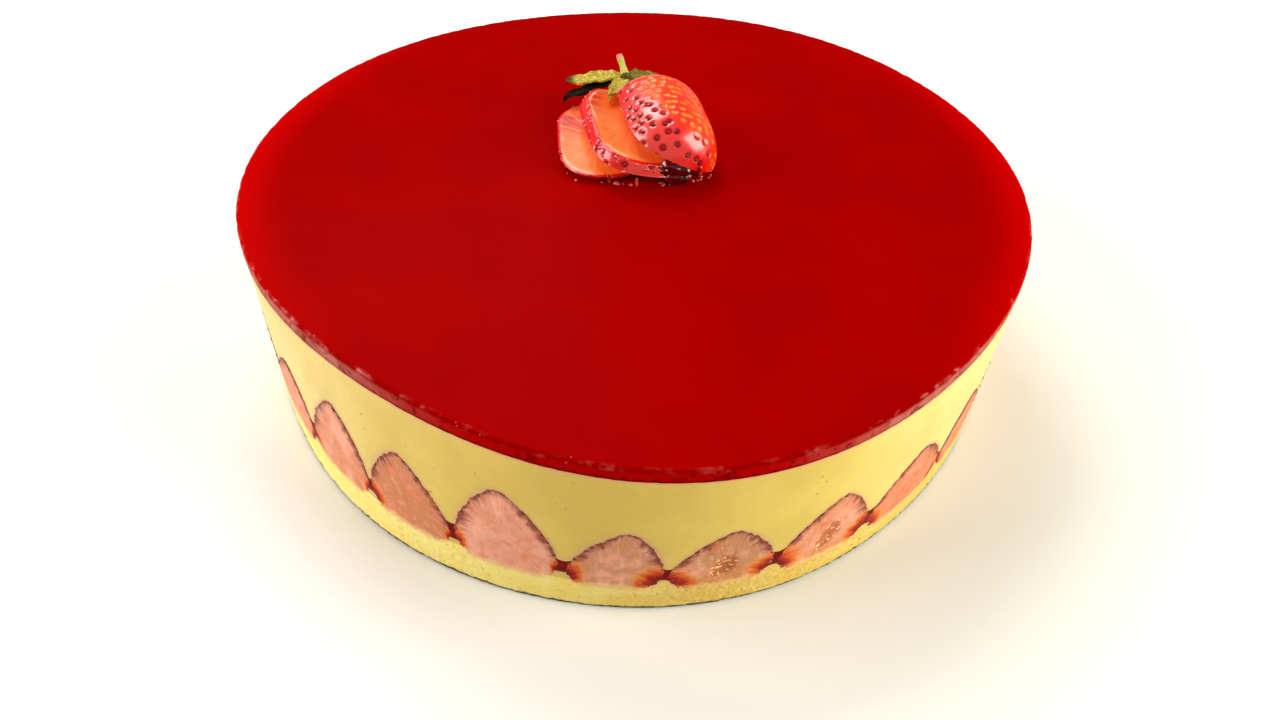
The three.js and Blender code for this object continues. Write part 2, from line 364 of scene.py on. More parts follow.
# Base, tip and lean of a half at the back, and how far each may differ
BACK_BERRY = (9.0, 34.5, 0.0)
BACK_SPREAD = (1.2, 3.5, 3.5)
BERRY_GAP = 2.0
BERRY_DEPTH = 0.85
BERRY_SEGMENTS = 176
BERRY_RINGS = 30
SHOULDER = 0.24
HULL_CUT = 0.3
TAPER = 1.6
BLUNTNESS = 0.75
LEAN_BEND = 1.3
FACE_PROUD = 0.05
FACE_GRAIN = 0.05
CORE_HEIGHT = 0.36
CORE_SLANT = 0.28
CORE_HALF_WIDTH = 0.27
CORE_HALF_LENGTH = 0.27
CORE_DEPTH = 0.8
NOTCH_PITCH = 1.8
NOTCH_DEPTH = 0.8
MEAN_FACE_RADIUS = 14
GIRTH_OF_FACE = 6.2


def side_point(angle, across, height, inward=0.0):
    """The point of the side a distance across from an angle, at a height, and set in from the side."""
    out = RING_RADIUS
    for _ in range(3):
        reach = side_radius(angle + atan2(across, out), height)
        out = sqrt(reach**2 - across**2)
    out -= inward
    cosine, sine = cos(angle), sin(angle)
    return Vector((out * cosine - across * sine, out * sine + across * cosine, height))


def seeded_draws(seed):
    """Numbers from 0 to 1, drawn in the way that the frame's own berries were."""
    state = seed
    while True:
        state = state * 16807 % 2147483647
        yield state / 2147483647


def berry_ring():
    """Every berry half, the front ones as listed and the others drawn at random, as in the frame."""
    draws = seeded_draws(2024)
    looks = random.Random(5)
    span = (360 - sum(sizes[0] for sizes, *_ in FRONT_BERRIES)) / BACK_BERRIES
    berries = list(FRONT_BERRIES)
    for _ in range(BACK_BERRIES):
        pairs = zip(BACK_BERRY, BACK_SPREAD)
        sizes = [middle + spread * (2 * next(draws) - 1) for middle, spread in pairs]
        tone = (looks.random(), 0.8 * looks.random(), looks.random() ** 2)
        runs = (looks.uniform(2, 10), looks.uniform(2, 10))
        marks = (looks.choice((25, 155)) + looks.uniform(-20, 20), looks.uniform(40, 140))
        berries.append(((span, *sizes), tone, runs, marks))
    ring = []
    edge = FIRST_BERRY_EDGE
    for (span, base, tip, lean), tone, runs, marks in berries:
        angle = radians(edge + span / 2)
        arc = radians(span) * side_radius(angle, base)
        ring.append({
            "angle": angle, "half_width": (arc - BERRY_GAP) / 2, "base": base, "tip": tip, "lean": lean,
            "tone": tone, "runs": runs, "marks": [radians(mark) for mark in marks],
        })
        edge += span
    return ring


def berry_share(along, taper=TAPER, bluntness=BLUNTNESS):
    """Radius of a strawberry as a share of its widest, from the hulled base at 0 to the tip at 1."""
    if along < SHOULDER:
        return 1 - HULL_CUT * (1 - max(along, 0.0) / SHOULDER) ** 2
    return max(0.0, 1 - ((along - SHOULDER) / (1 - SHOULDER)) ** taper) ** bluntness


def even_outline(points, count, blur):
    """A closed outline through points, evenly spaced along its length and with its corners rounded."""
    closed = np.vstack([points, points[:1]])
    run = np.concatenate([[0], np.cumsum(np.hypot(*np.diff(closed, axis=0).T))])
    steps = np.linspace(0, run[-1], count, endpoint=False)
    even = np.column_stack([np.interp(steps, run, closed[:, axis]) for axis in (0, 1)])
    reach = max(1, round(blur / run[-1] * count))
    return sum(np.roll(even, shift, axis=0) for shift in range(-reach, reach + 1)) / (2 * reach + 1)


def face_outline(berry, shrink, count=720):
    """Outline of a berry's cut face as distances across and heights, from the middle of its base."""
    along = np.sin(np.linspace(0, pi / 2, 160))
    share = np.array([berry_share(a) for a in along])
    side = berry["half_width"] * share
    middle = berry["lean"] * along**LEAN_BEND
    height = berry["base"] + along * (berry["tip"] - berry["base"])
    right = np.column_stack([middle + side, height])
    left = np.column_stack([middle - side, height])[::-1]
    points = np.vstack([[[0.0, berry["base"]]], right, left])
    outline = even_outline(points, count, 1.2)
    centre = outline.mean(axis=0)
    away = outline - centre
    distance = np.hypot(*away.T)[:, None]
    return centre + away * (distance - shrink) / distance, centre


def notch(berry, turn, seed):
    """How far the skin's edge stands out in a direction, as a share of its distance from the middle."""
    scale = berry["half_width"] * GIRTH_OF_FACE / NOTCH_PITCH / pi
    wobble = noise.noise(Vector((scale * cos(turn), scale * sin(turn), seed * 9.7)))
    return NOTCH_DEPTH / MEAN_FACE_RADIUS * (0.35 + wobble)


def berry_body(berry, segments, rings, shrink=0.0, front=FACE_PROUD, notch_seed=0):
    """A berry half as a ball of that many segments and rings, its front laid flat in the cake's side."""
    outline, centre = face_outline(berry, shrink)
    count = len(outline)
    axis_radius = side_radius(berry["angle"], (berry["base"] + berry["tip"]) / 2)
    tall = berry["tip"] - berry["base"]
    bm = bmesh.new()
    spoke_layer = bm.verts.layers.float_vector.new("spoke")
    face_layer = bm.verts.layers.float_vector.new("face")
    mark_layer = bm.verts.layers.float_vector.new("marks")
    tone_layer = bm.verts.layers.float_vector.new("tone")
    core_layer = bm.verts.layers.float.new("core")
    hollow = berry["tone"][2]
    bmesh.ops.create_uvsphere(bm, u_segments=segments, v_segments=rings, radius=1)
    for vert in bm.verts:
        polar = acos(max(-1.0, min(1.0, vert.co.z)))
        turn = atan2(vert.co.y, vert.co.x) % (2 * pi)
        rim = outline[round(turn / (2 * pi) * count) % count]
        direction = atan2(rim[1] - centre[1], rim[0] - centre[0])
        on_front = polar < pi / 2 + 0.01
        reach = sin(polar)
        if on_front:
            reach = 1 - (1 - min(1.0, polar / (pi / 2))) ** 1.5
        if notch_seed:
            rim = rim + (rim - centre) * notch(berry, turn, notch_seed) * reach**4
        across, height = centre + (rim - centre) * reach
        along = (height - berry["base"]) / tall
        off_middle = (across - berry["lean"] * max(along, 0.0) ** LEAN_BEND) / berry["half_width"]
        share = berry_share(min(max(along, 0.0), 1.0))
        inward = -front
        if not on_front:
            half_depth = BERRY_DEPTH * berry["half_width"] * sqrt(max(0.0, share**2 - off_middle**2))
            face = side_point(berry["angle"], across, height)
            sagitta = axis_radius - hypot(face.x, face.y) * cos(across / RING_RADIUS)
            inward = max(0.05, half_depth - sagitta)
        from_rim = hypot(*(rim - centre)) * (1 - reach)
        slant = off_middle - CORE_SLANT * (along - CORE_HEIGHT)
        core = hypot(slant / CORE_HALF_WIDTH, (along - CORE_HEIGHT) / CORE_HALF_LENGTH)
        core_share = max(0.0, 1 - core) if on_front else 0.0
        if on_front and hollow > 0.2:
            broken = 0.9 + 0.5 * noise.noise(Vector((across, height, 3)))
            inward += CORE_DEPTH * hollow * min(1.0, 1.6 * core_share) * broken
        if on_front and front == FACE_PROUD:
            inward += FACE_GRAIN * noise.noise(Vector((14 * cos(turn), 14 * sin(turn), 2 * reach)))
        vert.co = side_point(berry["angle"], across, height, inward)
        shoulders = [
            1 - hypot((across - side * berry["half_width"]) / run, (along - 0.12) / (0.2 + 0.02 * run))
            for side, run in zip((-1, 1), berry["runs"])
        ]
        strokes, line = (max(0.0, cos(direction - mark)) ** 2 for mark in berry["marks"])
        vert[spoke_layer] = (cos(turn), sin(turn), reach)
        vert[face_layer] = (across, height - berry["base"], from_rim)
        vert[mark_layer] = (max(0.0, *shoulders), strokes, line)
        vert[tone_layer] = berry["tone"]
        vert[core_layer] = core_share
    return facing_out(bm)


cut_berry = Finish("Cut strawberry", Roughness=0.45, Specular_IOR_Level=0.1)
spoke = cut_berry.attribute("spoke", "Vector")
reach = parts(spoke)[2]
face = cut_berry.attribute("face", "Vector")
_, above, from_rim = parts(face)
shoulder, combed, lined = parts(cut_berry.attribute("marks", "Vector"))
salmon, grey, hollow = parts(cut_berry.attribute("tone", "Vector"))
core = cut_berry.attribute("core")
spot = cut_berry.place()
fibres = clouds(stretched(spoke, (14, 14, 1.3)), 1.0, detail=3, roughness=0.55)
teeth = clouds(stretched(spoke, (8, 8, 0.8)), 1.0, detail=2)
broken = clouds(stretched(spoke, (6, 6, 3)), 1.0, detail=3)
streaks = clouds(stretched(face, (0.8, 0.14, 0)), 1.0, detail=3, roughness=0.6)
broad = clouds(spot, 150, detail=3)
mottle = clouds(spot, 340, detail=4, roughness=0.6)
fine = clouds(spot, 900, detail=3)
outwards = step(reach, 0.3, 0.85)
off_base = step(above, 1.5, 5.0)
# Flesh: pale pink, salmon or greyish by berry, streaked lengthways and mottled where it is bruised
color = mix(step(broad + salmon - 0.5, 0.2, 0.85), (255, 174, 148), (232, 114, 74))
color = mix(grey * step(broad, 0.2, 0.55), color, (200, 138, 94))
pale_streaks = step(streaks, 0.48, 0.72) * step(broken, 0.35, 0.6)
color = mix(pale_streaks * (0.42 - salmon * 0.2), color, (255, 208, 190))
color = mix(step(mottle, 0.5, 0.72) * 0.4, color, (206, 100, 66))
color = mix(step(mottle, 0.44, 0.28) * 0.3, color, (255, 206, 178))
color = mix(step(fibres, 0.52, 0.8) * outwards * 0.35, color, (255, 214, 196))
color = mix(step(fibres, 0.48, 0.25) * outwards * (0.2 + salmon * 0.3), color, (200, 92, 60))
near_skin = step(from_rim + (broad - 0.5) * 3, 3.6, 0.3) * off_base
color = mix(near_skin * (0.3 + grey * 0.3), color, (190, 134, 116))
# Skin side: dark strokes that follow the fibres, a brown line set in from the edge, and the skin itself
strokes = step(teeth + combed * 0.14, 0.54, 0.66) * combed * off_base
strokes = strokes * step(from_rim + (broken - 0.5) * 5, 5.5, 0.5)
color = mix(strokes * 0.75, color, (138, 56, 40))
inner_line = step(from_rim, 0.3, 0.9) * step(from_rim + (broken - 0.5) * 3, 2.6, 1.4)
color = mix(inner_line * lined * step(teeth, 0.36, 0.5) * 0.8, color, (168, 70, 34))
rim_line = step(from_rim + (broken - 0.5) * 5 + (teeth - 0.5) * 3, 1.6, 0.0) * off_base
color = mix(rim_line * 0.85, color, (124, 34, 28))
# Shoulders: the ripe red of the outside runs in from the lower corners through orange
ripe = shoulder * 1.1 + (teeth - 0.5) * 0.5 + (mottle - 0.5) * 0.4 + (broad - 0.5) * 0.6
color = mix(step(ripe, 0.0, 0.34) * 0.85, color, (238, 142, 62))
color = mix(step(ripe, 0.2, 0.46) * 0.95, color, (216, 88, 8))
color = mix(step(ripe, 0.44, 0.7), color, (170, 14, 0))
color = mix(step(ripe, 0.72, 0.95), color, (122, 0, 0))
# Core: rough and orange brown with pale specks, and a stain below it, in the berries that are hollow
below_core = step(above + (broad - 0.5) * 5, 7.5, 2.5) * step(shoulder, 0.2, 0.0)
color = mix(below_core * step(hollow, 0.3, 1.0) * 0.6, color, (212, 138, 58))
core_share = step(core + (mottle - 0.5) * 1.1, 0.05, 0.35) * step(hollow, 0.1, 0.8)
color = mix(core_share * 0.75, color, (190, 92, 40))
color = mix(core_share * step(fine, 0.56, 0.62), color, (252, 214, 160))
smear = step(above + (fine - 0.5) * 2.5 + (broad - 0.5) * 4, 2.0, 0.2) * (1 - shoulder)
color = mix(smear * 0.7, color, (246, 208, 132))
cut_berry.feed("Base Color", color)
cut_berry.bump(fibres * outwards * 0.6 + mottle * 0.5 + fine * 0.4, 0.0003, 0.6)

berries = berry_ring()
rim_points = []
for number, berry in enumerate(berries, start=1):
    bm = berry_body(berry, BERRY_SEGMENTS, BERRY_RINGS, notch_seed=number)
    half = in_frame(bm, f"berry_half_{number:02d}", 50)
    cut_berry.coat(half)
    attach(half, "root")
    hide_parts(f"berry_{number:02d}")
    outline, _ = face_outline(berry, 0.0, 60)
    rim_points.extend(side_point(berry["angle"], across, height) for across, height in outline)

rim_tree = KDTree(len(rim_points))
for index, point in enumerate(rim_points):
    rim_tree.insert(point, index)
rim_tree.balance()

# Seeds. The knife leaves cut seeds in the skin round each face, dark slivers a few millimetres apart
# that lie along the edge, more of them towards the tip. Their halves lie in the side of the cake.
SEED_PITCH = 2.7
SEED_SIZE = (0.95, 0.5, 0.34)
SEEDS_IN_SKIN = 0.15
SEEDS_IN_SIDE = 0.14
SEEDS_FROM = 6
CUT_AWAY_SHARE = 0.3


class Grains:
    """Many copies of one small form, gathered in one mesh."""

    def __init__(self, form):
        self.mesh = bpy.data.meshes.new("grain")
        form.to_mesh(self.mesh)
        form.free()
        self.bm = bmesh.new()

    def add(self, matrix):
        self.mesh.transform(matrix)
        self.bm.from_mesh(self.mesh)
        self.mesh.transform(matrix.inverted())


def ball(detail, rings=0):
    """A unit ball: an icosphere, or rings of segments where rings are given."""
    form = bmesh.new()
    if rings:
        bmesh.ops.create_uvsphere(form, u_segments=detail, v_segments=rings, radius=1)
    else:
        bmesh.ops.create_icosphere(form, subdivisions=detail, radius=1)
    return form


grains = Grains(ball(2))
draws = random.Random(11)
for berry in berries:
    outline, _ = face_outline(berry, SEEDS_IN_SKIN, 360)
    length = np.hypot(*np.diff(outline, axis=0).T).sum()
    for place in np.arange(0, 1, SEED_PITCH / length):
        index = int(place * len(outline))
        across, height = outline[index]
        if height < berry["base"] + SEEDS_FROM or draws.random() < CUT_AWAY_SHARE:
            continue
        run, rise = outline[(index + 1) % len(outline)] - outline[index]
        at = side_point(berry["angle"], across, height, SEEDS_IN_SIDE)
        tilt = Matrix.Rotation(atan2(rise, run) + draws.uniform(-0.3, 0.3), 4, "X")
        long, deep, thick = (size * draws.uniform(0.6, 1.25) for size in SEED_SIZE)
        grains.add(
            Matrix.Translation(at)
            @ Matrix.Rotation(berry["angle"], 4, "Z")
            @ tilt
            @ Matrix.Diagonal((thick, long, deep, 1))
        )
rim_seeds = in_frame(grains.bm, "cut_seeds")
seed_coat = Finish("Cut seed", Roughness=0.3)
husk = clouds(seed_coat.place(), 700, detail=2)
seed_coat.feed("Base Color", mix(step(husk, 0.35, 0.65), (104, 6, 8), (150, 40, 26)))
seed_coat.bump(husk, 0.0001, 0.5)
seed_coat.coat(rim_seeds)
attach(rim_seeds, "root")

# Cream. Mousseline is piped round and over the berries and levelled, and sets smooth against the
# steel, with a few pinholes. Each berry lies in a pocket of it, and its juice tints the edge pink.
CREAM_SEGMENTS = 720
CREAM_ROWS = 48
CREAM_FOOT = SPONGE_DEPTH - 0.25
CREAM_TOP = JELLY_FOOT - 0.02
CREAM_SWELL = 0.18
CREAM_SET_IN = 0.1
POCKET_OVERLAP = 0.25
POCKET_REACH = 4.0
POCKET_SEGMENTS = 72
POCKET_RINGS = 20

pockets = bpy.data.collections.new("pockets")
for number, berry in enumerate(berries, start=1):
    bm = berry_body(berry, POCKET_SEGMENTS, POCKET_RINGS, POCKET_OVERLAP, POCKET_REACH)
    pocket = in_frame(bm, f"pocket_{number:02d}")
    bpy.context.scene.collection.objects.unlink(pocket)
    pockets.objects.link(pocket)
bpy.context.scene.collection.children.link(pockets)


def cut_pockets(piece):
    """Takes the berries' pockets out of a layer, and leaves its mesh with no modifier."""
    cut = piece.modifiers.new("Pockets", "BOOLEAN")
    cut.operation = "DIFFERENCE"
    cut.operand_type = "COLLECTION"
    cut.collection = pockets
    cut.solver = "MANIFOLD"
    evaluated = piece.evaluated_get(bpy.context.evaluated_depsgraph_get())
    piece.data = bpy.data.meshes.new_from_object(evaluated)
    piece.modifiers.clear()
    piece.data.set_sharp_from_angle(angle=radians(50))


cream_side = upright(CREAM_FOOT, CREAM_TOP, CREAM_ROWS)
bm = turned([*flat(CREAM_FOOT), *cream_side, *flat(CREAM_TOP)[::-1]], CREAM_SEGMENTS)
for vert in bm.verts:
    vert.co = to_ring(vert.co)
    swell = noise.noise(vert.co * 0.035) * CREAM_SWELL + noise.noise(vert.co * 0.2) * 0.04
    vert.co.xy *= 1 + (swell - CREAM_SET_IN) / RING_RADIUS
cream = in_frame(bm, "mousseline_cream", 50)
cut_pockets(cream)
cut_pockets(sponge)
for pocket in list(pockets.objects):
    bpy.data.objects.remove(pocket)
bpy.data.collections.remove(pockets)


def stain_by_berries(piece):
    """Keeps each point's distance to the nearest berry's edge, in millimetres, on the mesh."""
    stain = piece.data.attributes.new("berry_distance", "FLOAT", "POINT")
    for vert in piece.data.vertices:
        stain.data[vert.index].value = rim_tree.find((vert.co - AXIS) / MM)[2]


stain_by_berries(cream)
stain_by_berries(sponge)

mousseline = Finish("Mousseline cream", Roughness=0.45, Specular_IOR_Level=0.3)
spot = mousseline.place()
x_side, _, height = parts(spot)
height_mm = height * 1000
sideways = x_side * x_side * 100        # 1 at 100 mm to the left or right of the middle
near_berry = mousseline.attribute("berry_distance")
cloud = clouds(spot, 45, detail=3)
grain = clouds(spot, 700, detail=3, roughness=0.6)
blotch = clouds(spot, 160, detail=3)
pinholes = cells(spot, 260)
sparse = step(clouds(spot, 90, detail=1), 0.56, 0.64)
pinhole = step(pinholes, 0.14, 0.06) * sparse
# The front is painted a deeper, darker yellow and the left and right sides paler: painted shade on the
# front and painted light on the sides.
even = step(cloud, 0.3, 0.7)
deep = mix(even, (218, 185, 76), (228, 196, 88))
pale = mix(even, (226, 202, 118), (235, 212, 130))
color = mix(step(sideways, 0.1, 0.9), deep, pale)
color = mix(step(grain, 0.45, 0.75) * 0.07, color, (250, 232, 170))
color = mix(step(blotch, 0.45, 0.7) * 0.2, color, (204, 184, 96))
haze = step(near_berry + (cloud - 0.5) * 1.5, 2.6, 0.1)
color = mix(haze * 0.5, color, (208, 152, 132))
under_jelly = step(height_mm + (grain - 0.5) * 1.5, CREAM_TOP - 1.1, CREAM_TOP - 0.2)
color = mix(under_jelly * 0.75, color, (236, 150, 124))
# The pinholes are painted darker: painted shade in the holes.
color = mix(pinhole * 0.6, color, (160, 128, 58))
mousseline.feed("Base Color", color)
mousseline.bump(grain * 0.12 - pinhole, 0.0004, 0.5)
cream.data.materials.clear()
mousseline.coat(cream)
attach(cream, "root")
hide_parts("cream")

# Berry juice. Where two halves meet, their round backs leave a small notch above the joint, which
# fills with dark juice and skin. It sets as a wet wedge in the side, as deep as the notch is wide.

# Heights above the bases of the two halves, and sizes of the wedge in the notch
WEDGE_FOOT = 4.0
WEDGE_TOP = 10.2
WEDGE_STEPS = 10
WEDGE_SAG = 0.9
WEDGE_OVERLAP = 0.25
WEDGE_BULGE = 0.1
WEDGE_DEPTH = 0.8
JOINT_HEIGHT = 14

bm = bmesh.new()
for number, berry in enumerate(berries):
    after = berries[(number + 1) % len(berries)]
    seat = (berry["base"] + after["base"]) / 2
    foot = seat + WEDGE_FOOT
    top = seat + WEDGE_TOP + random.Random(number).uniform(-1, 1)
    joint_radius = side_radius(berry["angle"], JOINT_HEIGHT)
    edge_angle = berry["angle"] + (berry["half_width"] + BERRY_GAP / 2) / joint_radius
    wedge = bmesh.ops.create_grid(bm, x_segments=WEDGE_STEPS, y_segments=WEDGE_STEPS, size=1)["verts"]
    for vert in wedge:
        side, up = vert.co.x, (vert.co.y + 1) / 2
        height = foot + (top - foot) * up - WEDGE_SAG * up * (1 - side**2)
        limits = []
        for one, sign in ((berry, 1), (after, -1)):
            along = min(1.0, max(0.0, (height - one["base"]) / (one["tip"] - one["base"])))
            shift = ((one["angle"] - edge_angle + pi) % (2 * pi) - pi) * RING_RADIUS
            half = one["half_width"] * berry_share(along) - WEDGE_OVERLAP
            limits.append(shift + one["lean"] * along**LEAN_BEND + sign * half)
        middle, half = (limits[0] + limits[1]) / 2, max(0.5, (limits[1] - limits[0]) / 2)
        bulge = WEDGE_BULGE * (1 - side**2) * sin(pi * up)
        vert.co = side_point(edge_angle, middle + half * side, height, 0.02 - bulge)
bmesh.ops.recalc_face_normals(bm, faces=bm.faces)
for face in bm.faces:
    centre = face.calc_center_median()
    if face.normal.dot(Vector((centre.x, centre.y, 0))) < 0:
        face.normal_flip()
bmesh.ops.solidify(bm, geom=bm.faces[:], thickness=WEDGE_DEPTH)
juice = in_frame(bm, "berry_juice", 60)
syrup = Finish("Strawberry juice", Roughness=0.45, Specular_IOR_Level=0.05)
spot = syrup.place()
depth = clouds(spot, 420, detail=2)
color = mix(step(depth, 0.35, 0.7), (96, 0, 0), (134, 2, 0))
# Small pale pink specks: a painted highlight on the wet juice.
color = mix(step(cells(spot, 500), 0.12, 0.07) * 0.5, color, (224, 126, 112))
syrup.feed("Base Color", color)
syrup.bump(clouds(spot, 600, detail=2), 0.0003, 0.6)
syrup.coat(juice)
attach(juice, "root")

# Jelly. Strawberry coulis set with gelatine is poured over the cold cream to the ring's rim. It is
# deep and clear red, smooth and level on top, and keeps a soft, slightly chipped and bubbly edge.
JELLY_SEGMENTS = 900
SIDE_STEPS = 8
TOP_SHARES = (0.98, 0.965, 0.94, 0.9, 0.84, 0.76, 0.6, 0.4, 0.2)
EDGE_SPREAD = 1.6
CHIP_DEPTH = 0.35
SAG_DEPTH = 0.3

jelly_edge = []
for part in range(SIDE_STEPS + 1):
    turn = radians(part * 90 / SIDE_STEPS)
    inward, down = JELLY_ROUNDING * (1 - cos(turn)), JELLY_ROUNDING * (1 - sin(turn))
    jelly_edge.append((RING_RADIUS - inward, CAKE_HEIGHT - down))
jelly_side = upright(JELLY_FOOT, CAKE_HEIGHT - JELLY_ROUNDING, SIDE_STEPS)[:-1]
jelly_top = [(RING_RADIUS * share, CAKE_HEIGHT) for share in (*TOP_SHARES, 0)]
bm = turned([*flat(JELLY_FOOT), *jelly_side, *jelly_edge, *jelly_top], JELLY_SEGMENTS)
edge_layer = bm.verts.layers.float.new("rim_distance")
for vert in bm.verts:
    radius = hypot(vert.co.x, vert.co.y)
    vert[edge_layer] = (RING_RADIUS - radius) / RING_RADIUS
    vert.co = to_ring(vert.co, 0)
    edge_share = max(0.0, 1 - abs(RING_RADIUS - 0.6 - radius) / EDGE_SPREAD)
    edge_share *= max(0.0, 1 - (CAKE_HEIGHT - vert.co.z) / 3)
    vert.co.xy *= 1 - edge_share * (0.12 + CHIP_DEPTH * max(0.0, rough(vert.co, 0.28, 4))) / RING_RADIUS
    vert.co.z -= edge_share * SAG_DEPTH * max(0.0, rough(vert.co, 0.4, 3))
    if radius > RING_RADIUS - 0.1:
        vert.co.xy *= 1 + (0.12 * noise.noise(vert.co * 0.5) - 0.05) / RING_RADIUS
jelly = in_frame(bm, "strawberry_jelly", 60)

coulis = Finish("Strawberry jelly", Specular_IOR_Level=0.0015, Coat_Roughness=0.14)
spot = coulis.place()
x_side, _, height = parts(spot)
height_mm = height * 1000
sideways = x_side * x_side * 100
rim_distance = coulis.attribute("rim_distance")
murk = clouds(spot, 26, detail=3)
specks = clouds(spot, 380, detail=2)
broken = clouds(spot, 120, detail=3)
to_sides = step(sideways, 0.4, 1.5)
color = mix(step(murk, 0.3, 0.7), (146, 0, 0), (154, 0, 0))
# A brighter red band near the rim on the left and right: painted light shining through the rounded edge.
color = mix(step(rim_distance, 0.13, 0.0) * to_sides * 0.8, color, (190, 0, 0))
side_mask = step(height_mm, CAKE_HEIGHT - 0.6, CAKE_HEIGHT - 1.6)
# The left and right of the side are painted mauve-grey: a painted reflection of the bright surroundings
# at a grazing angle.
side_reflection_share = step(sideways, 0.12, 0.6)
side_reflection_color = mix(step(broken, 0.35, 0.65), (166, 84, 72), (190, 114, 100))
color = mix(side_mask, color, mix(side_reflection_share, (176, 2, 2), side_reflection_color))
color = mix(side_mask * step(specks, 0.56, 0.66) * 0.6, color, (96, 2, 6))
foot_mask = step(height_mm + (specks - 0.5) * 1.2, JELLY_FOOT + 1.2, JELLY_FOOT) * (1 - side_reflection_share * 0.5)
color = mix(foot_mask * 0.85, color, (88, 0, 2))
lip = step(rim_distance, 0.011, 0.006) * step(height_mm, CAKE_HEIGHT - 1.6, CAKE_HEIGHT - 0.7)
glint = lip * step(broken, 0.44, 0.6) * step(specks, 0.4, 0.6) * 0.5
color = mix(glint * 0.5, color, (232, 84, 70))
coulis.feed("Base Color", color)
coulis.feed("Coat Weight", glint)
coulis.feed("Roughness", 0.22 + side_mask * 0.16 + step(specks, 0.4, 0.8) * 0.05)
coulis.bump(clouds(spot, 60, detail=2) + (side_mask + lip) * specks * 0.5, 0.0006, 0.35)
coulis.coat(jelly)
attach(jelly, "root")
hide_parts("jelly")

# Bubbles. A little air is whipped into the coulis as it is poured, and sits as tiny beads along the
# rim of the ring, where it could not be skimmed off.
BUBBLES = 64
BUBBLE_SIZES = (0.15, 0.34)
BUBBLES_SET_IN = 0.25
BUBBLES_SUNK = 0.2

grains = Grains(ball(2))
draws = random.Random(31)
for _ in range(BUBBLES):
    angle = draws.uniform(-pi, pi)
    size = draws.uniform(*BUBBLE_SIZES)
    turn = radians(draws.uniform(0, 90))
    out = side_radius(angle, CAKE_HEIGHT) - JELLY_ROUNDING * (1 - cos(turn)) - BUBBLES_SET_IN
    rise = CAKE_HEIGHT - JELLY_ROUNDING * (1 - sin(turn)) - BUBBLES_SUNK
    at = Vector((out * cos(angle), out * sin(angle), rise))
    grains.add(Matrix.Translation(at) @ Matrix.Scale(size, 4))
bubbles = in_frame(grains.bm, "jelly_bubbles")
bead = Finish("Jelly bubble", Roughness=0.1, Specular_IOR_Level=0.5)
tint = clouds(bead.place(), 200, detail=1)
bead.feed("Base Color", mix(tint, (196, 22, 16), (222, 56, 44)))
bead.coat(bubbles)
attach(bubbles, "root")

# Garnish. One large strawberry is sliced lengthways and fanned out: two slices on their flat sides
# and the rounded cap on the right. Each leans on its neighbour, and all of them are wet with glaze.
GARNISH_LENGTH = 44.5
GARNISH_HALF_WIDTH = 16.5
GARNISH_HALF_DEPTH = 15.0
BLUNT_TAPER = 5.5
BLUNT_BLUNTNESS = 0.45
RESTING_HEIGHT = CAKE_HEIGHT + 0.3
SEED_SPACING = 3.5
PIT_RADIUS = 1.4
PIT_DEPTH = 0.45
SEEDS_MISSING = 0.06
GARNISH_SEED = (0.42, 0.68, 0.34)
CUT_ROUNDING = 0.35
GROOVE_DEPTH = 0.25
GROOVE_HALF_WIDTH = 1.6
GROOVE_HALF_LENGTH = 15
MASK_REACH = 10
OUTLINE_POINTS = 512


def level_outline(level):
    """Outline of the lying berry at a level of its depth, as distances across and along."""
    along = 0.5 - 0.5 * np.cos(np.linspace(0, pi, 400))
    share = np.array([berry_share(a, BLUNT_TAPER, BLUNT_BLUNTNESS) for a in along])
    half = GARNISH_HALF_WIDTH * np.sqrt(np.maximum(0, share**2 - (level / GARNISH_HALF_DEPTH) ** 2))
    shown = half > 0.05
    place = GARNISH_LENGTH * (0.5 - along)
    right = np.column_stack([half, place])[shown]
    left = np.column_stack([-half, place])[shown][::-1]
    return even_outline(np.vstack([right, left]), OUTLINE_POINTS, 0.8)


def dome_height(across, place):
    """Height of the lying berry's skin over its middle plane."""
    along = min(1.0, max(0.0, 0.5 - place / GARNISH_LENGTH))
    share = berry_share(along, BLUNT_TAPER, BLUNT_BLUNTNESS)
    return GARNISH_HALF_DEPTH * sqrt(max(0.0, share**2 - (across / GARNISH_HALF_WIDTH) ** 2))


def skin_seeds():
    """Places of the seeds on the lying berry's upper half, in staggered rows."""
    places = []
    draws = random.Random(77)
    rows = int(GARNISH_LENGTH / SEED_SPACING)
    for row in range(1, rows + 2):
        along = (row - 0.4) / (rows + 1)
        share = berry_share(along, BLUNT_TAPER, BLUNT_BLUNTNESS)
        around = max(1, round(pi * share * GARNISH_HALF_WIDTH / SEED_SPACING))
        for step in range(around * 2):
            turn = pi * (step + 0.5 * (row % 2)) / around + draws.uniform(-0.09, 0.09)
            at = along + draws.uniform(-0.018, 0.018)
            if draws.random() < SEEDS_MISSING:
                continue
            reach = berry_share(at, BLUNT_TAPER, BLUNT_BLUNTNESS)
            places.append(Vector((
                GARNISH_HALF_WIDTH * reach * cos(turn),
                GARNISH_LENGTH * (0.5 - at),
                GARNISH_HALF_DEPTH * reach * sin(turn),
            )))
    return places


seed_places = skin_seeds()
seed_tree = KDTree(len(seed_places))
for index, point in enumerate(seed_places):
    seed_tree.insert(point, index)
seed_tree.balance()


